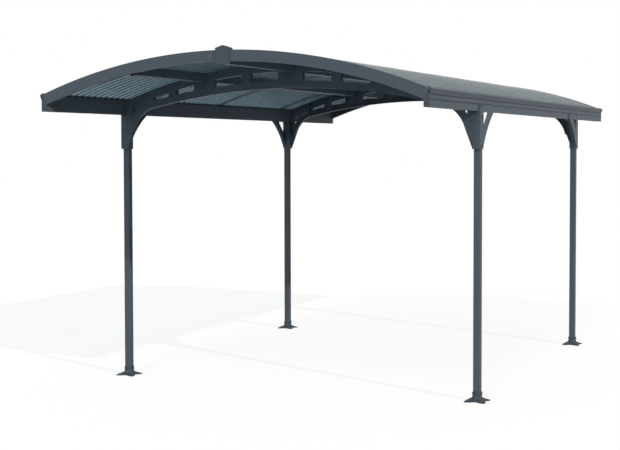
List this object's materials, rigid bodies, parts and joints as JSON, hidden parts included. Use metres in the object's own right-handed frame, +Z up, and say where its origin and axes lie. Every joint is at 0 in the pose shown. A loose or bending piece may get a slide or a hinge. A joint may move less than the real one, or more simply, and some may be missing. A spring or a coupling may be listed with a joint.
{
  "type": "carport",
  "caption": "Open carport with square posts on four-toed feet, slotted arches with knees, and an arched roof of corrugated tinted sheets.",
  "frame": {"origin": "centre of the bounding box at ground level, under the middle of the roof", "axes": "+X to the right eave, +Y to the rear, the way a car drives in, +Z up"},
  "size_m": [3.0144, 5.024, 2.462],
  "materials": {
    "frame": "anthracite grey powder coat, satin",
    "dark_plastic": "moulded, matt",
    "roof_sheet": "grey tinted translucent corrugated sheet, smooth"
  },
  "bodies": {
    "root": {"front_left_post": "frame", "front_right_post": "frame", "rear_left_post": "frame", "rear_right_post": "frame", "front_left_foot": "dark_plastic", "front_right_foot": "dark_plastic", "rear_left_foot": "dark_plastic", "rear_right_foot": "dark_plastic", "front_left_arch": "frame", "front_right_arch": "frame", "rear_left_arch": "frame", "rear_right_arch": "frame", "front_left_knee": "frame", "front_right_knee": "frame", "rear_left_knee": "frame", "rear_right_knee": "frame", "front_arch_splice": "frame", "rear_arch_splice": "frame", "front_left_eave_brace": "frame", "front_right_eave_brace": "frame", "rear_left_eave_brace": "frame", "rear_right_eave_brace": "frame", "left_eave_beam": "frame", "right_eave_beam": "frame", "left_cover_rail": "frame", "right_cover_rail": "frame", "front_left_eave_cap": "dark_plastic", "front_right_eave_cap": "dark_plastic", "rear_left_eave_cap": "dark_plastic", "rear_right_eave_cap": "dark_plastic", "ridge_beam": "frame", "left_purlin": "frame", "right_purlin": "frame", "front_left_gable": "frame", "front_right_gable": "frame", "rear_left_gable": "frame", "rear_right_gable": "frame", "front_ridge_cap": "dark_plastic", "rear_ridge_cap": "dark_plastic", "front_roof_sheet": "roof_sheet", "front_middle_roof_sheet": "roof_sheet", "rear_middle_roof_sheet": "roof_sheet", "rear_roof_sheet": "roof_sheet"}
  },
  "joints": []
}
